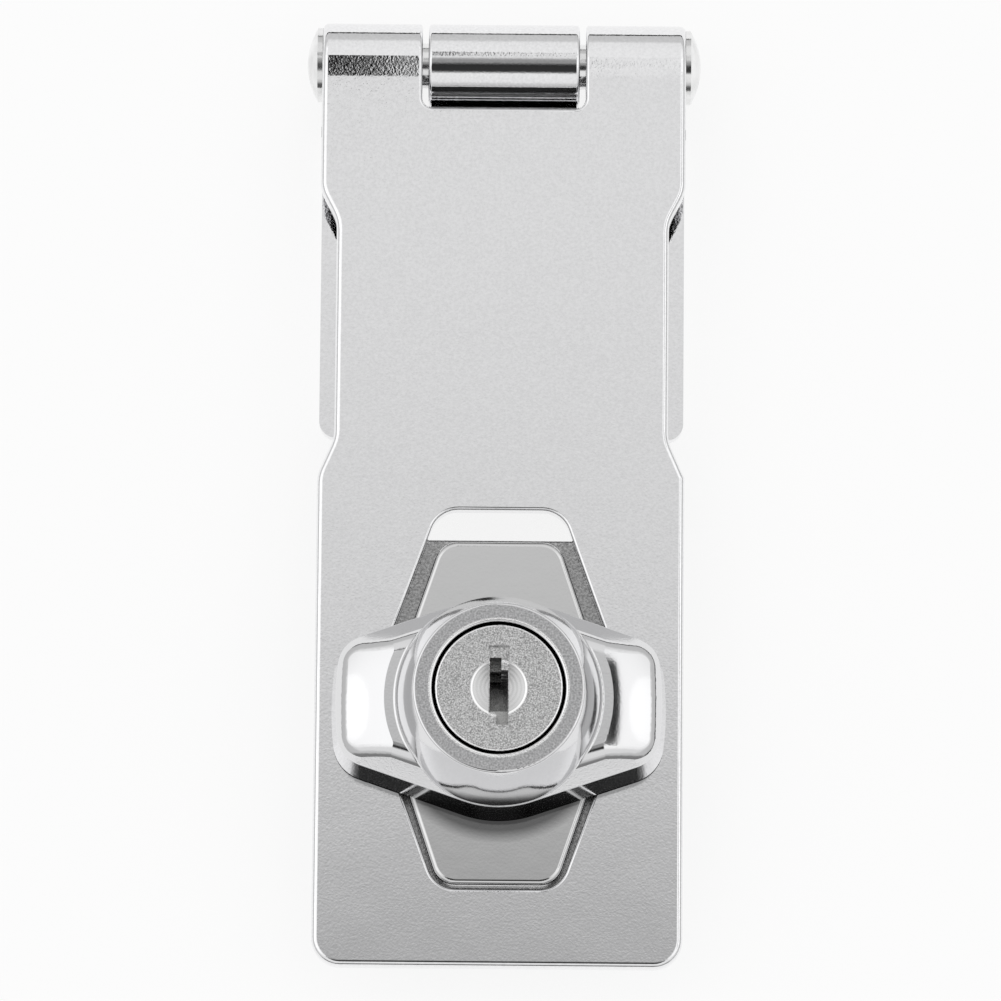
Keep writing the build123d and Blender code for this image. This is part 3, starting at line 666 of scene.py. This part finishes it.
@dataclass
class HingedLeaves:
    """The two leaves and the riveted pin that joins them."""

    long_leaf: str = "hasp_leaf"
    short_leaf: str = "fixed_leaf"
    pin: str = "hinge_pin"

    def build(self) -> None:
        """Dresses the leaves and their pin."""
        finish_node(self.long_leaf, CURLED_CHROME)
        finish_node(self.short_leaf, SHEET_CHROME)
        finish_node(self.pin, RIVET_CHROME)


@dataclass
class LockBase:
    """The cast base on the door, with the boss that fills the hasp's slot."""

    casting: str = "lock_base"

    def build(self) -> None:
        """Dresses the casting."""
        finish_node(self.casting, CAST_CHROME)


@dataclass
class WingedKnob:
    """The winged knob with the circlip and the bolt in its shank."""

    knob: str = "knob"
    circlip: str = "circlip"
    bolt: str = "locking_bolt"

    def build(self) -> None:
        """Dresses the knob, its circlip and its bolt."""
        finish_node(self.knob, KNOB_CHROME)
        finish_node(self.circlip, BLACK_OXIDE)
        finish_node(self.bolt, BOLT_ZINC)


@dataclass
class CoilSpring:
    """One compression spring with closed end turns, wound along the Y axis.

    Args:
        name: The piece's name.
        node: The CAD node that it stands for.
        joint: The wafer's joint, or None for the keeper spring; a spring with a joint gets a mesh of its
            own.
    """

    name: str
    node: str
    joint: str | None
    wire_diameter: float = 0.22 * MM
    turns: float = 5.0
    dead_share: float = 0.18
    points_per_turn: int = 24
    wire_sides: int = 10
    squeeze: float = 0.5 * MM

    def tree(self) -> Tree:
        """Builds the spring's node tree, or gives the one already built.

        Returns:
            A geometry tree with named inputs for the spring's sizes.
        """
        name = "wound_coil_spring"
        if name in bpy.data.node_groups:
            return bpy.data.node_groups[name]
        tree = bpy.data.node_groups.new(name, "GeometryNodeTree")
        tree.interface.new_socket(name="Geometry", in_out="OUTPUT", socket_type="NodeSocketGeometry")
        sockets = {
            "Start": "NodeSocketVector",
            "Length": "NodeSocketFloat",
            "Coil Radius": "NodeSocketFloat",
            "Wire Radius": "NodeSocketFloat",
            "Turns": "NodeSocketFloat",
            "Dead Share": "NodeSocketFloat",
            "Points": "NodeSocketInt",
            "Sides": "NodeSocketInt",
            "Finish": "NodeSocketMaterial",
        }
        for label, kind in sockets.items():
            tree.interface.new_socket(name=label, in_out="INPUT", socket_type=kind)
        given = add(tree, "NodeGroupInput").outputs
        line = add(tree, "GeometryNodeCurvePrimitiveLine")
        path = add(tree, "GeometryNodeResampleCurve", {"Curve": line.outputs[0], "Count": given["Points"]})
        along = add(tree, "GeometryNodeSplineParameter").outputs["Factor"]
        turned = product(tree, along, given["Turns"])
        angle = product(tree, turned, FULL_TURN)
        cosine = add(tree, "ShaderNodeMath", {0: angle}, operation="COSINE").outputs[0]
        sine = add(tree, "ShaderNodeMath", {0: angle}, operation="SINE").outputs[0]
        wire = product(tree, given["Wire Radius"], 2.0)
        stacked = product(tree, given["Turns"], wire)
        spare = add(tree, "ShaderNodeMath", {0: given["Length"], 1: stacked}, operation="SUBTRACT")
        live_end = add(tree, "ShaderNodeMath", {0: 1.0, 1: given["Dead Share"]}, operation="SUBTRACT")
        opened = add(tree, "ShaderNodeMapRange", {
            "Value": along,
            "From Min": given["Dead Share"],
            "From Max": live_end.outputs[0],
            "To Max": spare.outputs[0],
        }, interpolation_type="SMOOTHSTEP")
        height = add(tree, "ShaderNodeMath", {0: product(tree, turned, wire), 1: opened.outputs["Result"]},
                     operation="ADD")
        offset = add(tree, "ShaderNodeCombineXYZ", {
            "X": product(tree, cosine, given["Coil Radius"]),
            "Y": height.outputs[0],
            "Z": product(tree, sine, given["Coil Radius"]),
        })
        place = add(tree, "ShaderNodeVectorMath", {0: offset.outputs["Vector"], 1: given["Start"]},
                    operation="ADD")
        coil = add(tree, "GeometryNodeSetPosition", {
            "Geometry": path.outputs["Curve"],
            "Position": place.outputs["Vector"],
        })
        profile = add(tree, "GeometryNodeCurvePrimitiveCircle", {
            "Resolution": given["Sides"],
            "Radius": given["Wire Radius"],
        })
        wound = add(tree, "GeometryNodeCurveToMesh", {
            "Curve": coil.outputs["Geometry"],
            "Profile Curve": profile.outputs["Curve"],
            "Fill Caps": True,
        })
        real = add(tree, "GeometryNodeRealizeInstances", {"Geometry": wound.outputs["Mesh"]})
        dressed = add(tree, "GeometryNodeSetMaterial", {
            "Geometry": real.outputs["Geometry"],
            "Material": given["Finish"],
        })
        add(tree, "NodeGroupOutput", {"Geometry": dressed.outputs["Geometry"]})
        return tree

    def build(self) -> bpy.types.Object:
        """Winds the spring in the place of its CAD node.

        Returns:
            The spring as a plain mesh object.
        """
        low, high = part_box(self.node)
        wire_radius = self.wire_diameter / 2
        middle = (low + high) / 2
        values = {
            "Start": (middle.x, low.y + wire_radius, middle.z),
            "Length": high.y - low.y - self.wire_diameter,
            "Coil Radius": (high.x - low.x) / 2 - wire_radius,
            "Wire Radius": wire_radius,
            "Turns": self.turns,
            "Dead Share": self.dead_share,
            "Points": int(self.turns * self.points_per_turn),
            "Sides": self.wire_sides,
            "Finish": WIRE_STEEL.material(),
        }
        spring = bpy.data.objects.new(self.name, bpy.data.meshes.new(self.name))
        bpy.context.scene.collection.objects.link(spring)
        winding = spring.modifiers.new("winding", "NODES")
        winding.node_group = self.tree()
        for item in winding.node_group.interface.items_tree:
            if item.in_out == "INPUT":
                winding[item.identifier] = values[item.name]
        evaluated = spring.evaluated_get(bpy.context.evaluated_depsgraph_get())
        mesh = bpy.data.meshes.new_from_object(evaluated)
        spring.modifiers.remove(winding)
        spring.data = mesh
        mesh.name = self.name
        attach(spring, Body.PLUG.value)
        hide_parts(self.node)
        if self.joint:
            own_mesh(spring)
        LOG.info("%s wound with %d faces in place of %s", self.name, len(mesh.polygons), self.node)
        return spring


@dataclass
class KeyPlug:
    """The key plug with its wafers and their springs."""

    plug: str = "plug"
    retainer: str = "retainer_wafer"
    wafer_count: int = 5

    def build(self) -> None:
        """Dresses the plug and its wafers and winds their springs."""
        finish_node(self.plug, BLASTED_NICKEL)
        finish_node(self.retainer, WAFER_NICKEL)
        for number in range(1, self.wafer_count + 1):
            finish_node(f"wafer_{number}", WAFER_NICKEL)
            CoilSpring(f"tumbler_spring_{number}", f"wafer_spring_{number}", f"wafer_slide_{number}").build()
        CoilSpring("keeper_spring", "retainer_spring", None).build()


@dataclass(frozen=True)
class Glow:
    """A round part of the light tent that is brighter or darker than the rest, with a soft edge.

    Args:
        right: How far its middle leans to the right of straight up, in degrees.
        back: How far its middle leans towards the hinge from straight up, in degrees.
        inner: How far from its middle it starts to fade, in degrees.
        outer: How far from its middle it has faded, in degrees.
        level: What it multiplies the tent's light by.
    """

    right: float
    back: float
    inner: float
    outer: float
    level: float

    def factor(self, tree: Tree, direction: Socket) -> Socket:
        """Adds the glow's share of the tent.

        Args:
            tree: The world's tree.
            direction: Where the ray goes.

        Returns:
            What the tent's light is multiplied by.
        """
        middle = Vector((math.tan(math.radians(self.right)), math.tan(math.radians(self.back)), 1.0))
        nearness = add(tree, "ShaderNodeVectorMath", {0: direction, 1: middle.normalized()},
                       operation="DOT_PRODUCT").outputs["Value"]
        return add(tree, "ShaderNodeMapRange", {
            "Value": nearness,
            "From Min": math.cos(math.radians(self.outer)),
            "From Max": math.cos(math.radians(self.inner)),
            "To Min": 1.0,
            "To Max": self.level,
        }, interpolation_type="SMOOTHSTEP").outputs["Result"]


@dataclass(frozen=True)
class Flag:
    """A dark card in the light tent, which the chrome shows as a streak.

    Args:
        right: From where to where it hangs to the right of straight up, in degrees.
        back: From where to where it hangs towards the hinge from straight up, in degrees.
        level: What it multiplies the tent's light by.
        softness: How wide its soft edge is, in degrees.
    """

    right: tuple[float, float]
    back: tuple[float, float]
    level: float = 0.03
    softness: float = 1.0

    def factor(self, tree: Tree, direction: Socket) -> Socket:
        """Adds the card's share of the tent.

        Args:
            tree: The world's tree.
            direction: Where the ray goes.

        Returns:
            What the tent's light is multiplied by.
        """
        axes = add(tree, "ShaderNodeSeparateXYZ", {"Vector": direction}).outputs
        held = []
        for axis, limits in (("X", self.right), ("Y", self.back)):
            lean = add(tree, "ShaderNodeMath", {0: axes[axis], 1: axes["Z"]}, operation="ARCTAN2").outputs[0]
            low, high = (math.radians(limit) for limit in limits)
            held.append(within(tree, lean, low, high, math.radians(self.softness)))
        return add(tree, "ShaderNodeMapRange", {
            "Value": product(tree, held[0], held[1]),
            "To Min": 1.0,
            "To Max": self.level,
        }).outputs["Result"]


@dataclass
class Studio:
    """The pale floor, the soft light tent and the camera above the lock's front edge."""

    target: tuple[float, float, float] = (0.0, 22.6 * MM, 8.5 * MM)
    elevation: float = 79.0
    distance: float = 850 * MM
    frame_width: float = 105.4 * MM
    lean: float = 0.5
    floor_size: float = 1.6
    floor_drop: float = 0.2 * MM
    floor_colour: str = "#FFFFFF"
    floor_glow: float = 0.85
    # The tent's light for the sine of the height above the floor: grey below and at the foot,
    # bright from half way up and darker straight above.
    tent_levels: tuple[tuple[float, float], ...] = (
        (-0.03, 0.50), (0.06, 0.60), (0.44, 0.64), (0.54, 0.86), (0.90, 0.90), (0.96, 0.82),
        (0.975, 0.79), (0.982, 0.75), (0.9862, 0.68), (0.9885, 0.56), (0.9905, 0.43), (1.0, 0.30))
    # The dark gap along the floor, to the right and behind: its heights, its soft ends, its light
    # and how far round it comes in.
    horizon: tuple[float, float] = (-0.01, 0.07)
    horizon_softness: float = 0.012
    horizon_level: float = 0.04
    horizon_turn: float = 0.2
    # The two softboxes: how far aside and back for each length up, how wide and how bright.
    lamp_side: float = 1.2
    lamp_back: float = 0.14
    lamp_width: float = 0.3
    lamp_radiance: float = 0.15
    features: tuple[Glow | Flag, ...] = (
        # The opening that the camera looks in through, with its dimmer sides.
        Glow(right=0.0, back=-18.0, inner=7.0, outer=17.0, level=0.04),
        Flag(right=(-16.0, -6.0), back=(-21.0, -13.0), level=0.2, softness=4.0),
        Flag(right=(6.0, 16.0), back=(-21.0, -13.0), level=0.2, softness=4.0),
        # The softboxes on the left and on the right.
        Glow(right=-36.0, back=8.0, inner=6.0, outer=34.0, level=1.4),
        Glow(right=36.0, back=8.0, inner=6.0, outer=34.0, level=1.35),
        # The dim room in front and on both sides of it, under the tent's edge.
        Glow(right=0.0, back=-88.0, inner=10.0, outer=22.0, level=0.15),
        Glow(right=-86.5, back=-88.0, inner=10.0, outer=22.0, level=0.4),
        Glow(right=86.5, back=-88.0, inner=10.0, outer=22.0, level=0.4),
        # The cards whose mirror images are the streaks on the right wing and on the left and
        # middle knuckles.
        Flag(right=(29.0, 35.3), back=(-4.0, 24.0), level=0.0),
        Flag(right=(-3.6, -0.6), back=(15.2, 27.0), level=0.0, softness=0.5),
        Flag(right=(-0.3, 0.4), back=(23.2, 24.6), level=0.3),
    )

    def place_camera(self) -> None:
        """Sets the camera at the photograph's viewing angle."""
        lens = bpy.data.cameras.new("camera")
        lens.lens = lens.sensor_width * self.distance / self.frame_width
        camera = bpy.data.objects.new("camera", lens)
        bpy.context.scene.collection.objects.link(camera)
        angle = math.radians(self.elevation)
        back = Vector((0.0, -math.cos(angle), math.sin(angle)))
        camera.location = Vector(self.target) + back * self.distance
        camera.rotation_mode = "QUATERNION"
        level = (-back).to_track_quat("-Z", "Y")
        camera.rotation_quaternion = level @ Quaternion((0.0, 0.0, 1.0), math.radians(self.lean))
        bpy.context.scene.camera = camera

    def hang_tent(self) -> None:
        """Makes the world a pale tent with its softboxes, its cards and a dark gap at the floor."""
        world = bpy.data.worlds.new("light_tent")
        bpy.context.scene.world = world
        world.use_nodes = True
        tree = world.node_tree
        tree.nodes.clear()
        direction = add(tree, "ShaderNodeTexCoord").outputs["Generated"]
        axes = add(tree, "ShaderNodeSeparateXYZ", {"Vector": direction}).outputs
        height = add(tree, "ShaderNodeMapRange", {"Value": axes["Z"], "From Min": -1.0}).outputs["Result"]
        stops = [((sine + 1) / 2, level) for sine, level in self.tent_levels]
        wall = add(tree, "ShaderNodeValToRGB", {"Fac": height}, stops=stops).outputs["Color"]
        low, high = self.horizon
        near_floor = within(tree, axes["Z"], low, high, self.horizon_softness)
        side = add(tree, "ShaderNodeMath", {0: axes["X"], 1: axes["Y"]}, operation="ADD").outputs[0]
        behind = add(tree, "ShaderNodeMapRange", {"Value": side, "From Max": self.horizon_turn})
        strength = add(tree, "ShaderNodeMapRange", {
            "Value": product(tree, near_floor, behind.outputs["Result"]),
            "To Min": 1.0,
            "To Max": self.horizon_level,
        }).outputs["Result"]
        for feature in self.features:
            strength = product(tree, strength, feature.factor(tree, direction))
        tent = add(tree, "ShaderNodeBackground", {"Color": wall, "Strength": strength})
        white = add(tree, "ShaderNodeBackground", {"Color": linear("#FFFFFF"), "Strength": 1.0})
        chosen = add(tree, "ShaderNodeMixShader", {
            0: add(tree, "ShaderNodeLightPath").outputs["Is Camera Ray"],
            1: tent.outputs["Background"],
            2: white.outputs["Background"],
        })
        add(tree, "ShaderNodeOutputWorld", {"Surface": chosen.outputs["Shader"]})

    def lay_floor(self) -> None:
        """Lays the pale floor, which keeps the lock's shadow and hides nothing from below."""
        mesh = bpy.data.meshes.new("floor")
        half = self.floor_size / 2
        corners = [(-half, -half), (half, -half), (half, half), (-half, half)]
        mesh.from_pydata([(x, y, -self.floor_drop) for x, y in corners], [], [(0, 1, 2, 3)])
        floor = bpy.data.objects.new("floor", mesh)
        bpy.context.scene.collection.objects.link(floor)
        material = bpy.data.materials.new("pale_studio_floor")
        material.use_nodes = True
        tree = material.node_tree
        tree.nodes.clear()
        paint = add(tree, "ShaderNodeBsdfDiffuse", {"Color": linear(self.floor_colour)})
        glow = add(tree, "ShaderNodeEmission", {"Color": linear("#FFFFFF"), "Strength": 1.0})
        path = add(tree, "ShaderNodeLightPath").outputs
        mirrored = add(tree, "ShaderNodeMath", {0: path["Is Camera Ray"], 1: path["Is Glossy Ray"]},
                       operation="MAXIMUM").outputs[0]
        top = add(tree, "ShaderNodeMixShader", {
            0: product(tree, mirrored, self.floor_glow),
            1: paint.outputs["BSDF"],
            2: glow.outputs["Emission"],
        })
        surface = add(tree, "ShaderNodeMixShader", {
            0: add(tree, "ShaderNodeNewGeometry").outputs["Backfacing"],
            1: top.outputs["Shader"],
            2: add(tree, "ShaderNodeBsdfTransparent").outputs["BSDF"],
        })
        add(tree, "ShaderNodeOutputMaterial", {"Surface": surface.outputs["Shader"]})
        mesh.materials.append(material)

    def hang_softbox(self, name: str, side: float) -> None:
        """Hangs one round soft lamp that faces the lock.

        Args:
            name: The lamp's name.
            side: How far it leans to the right for each length up.
        """
        lamp = bpy.data.lights.new(name, "AREA")
        lamp.shape = "DISK"
        lamp.size = self.lamp_width
        face_area = math.pi * (self.lamp_width / 2) ** 2
        lamp.energy = self.lamp_radiance * math.pi * face_area
        hung = bpy.data.objects.new(name, lamp)
        bpy.context.scene.collection.objects.link(hung)
        way = Vector((side, self.lamp_back, 1.0)).normalized()
        hung.location = Vector(self.target) + way * self.distance
        hung.rotation_mode = "QUATERNION"
        hung.rotation_quaternion = (-way).to_track_quat("-Z", "Y")

    def build(self) -> None:
        """Sets up the camera, the tent, the floor and the softboxes."""
        self.place_camera()
        self.hang_tent()
        self.lay_floor()
        self.hang_softbox("left_softbox", -self.lamp_side)
        self.hang_softbox("right_softbox", self.lamp_side)
        bpy.context.scene.view_settings.view_transform = "Standard"
        LOG.info("studio set, camera %.0f degrees above the floor", self.elevation)


def main() -> None:
    """Dresses the lock in its studio."""
    logging.basicConfig(level=logging.INFO, format="%(name)s: %(message)s")
    Studio().build()
    for assembly in (HingedLeaves(), LockBase(), WingedKnob(), KeyPlug()):
        assembly.build()
        LOG.info("%s done", type(assembly).__name__)


if __name__ == "__main__":
    main()
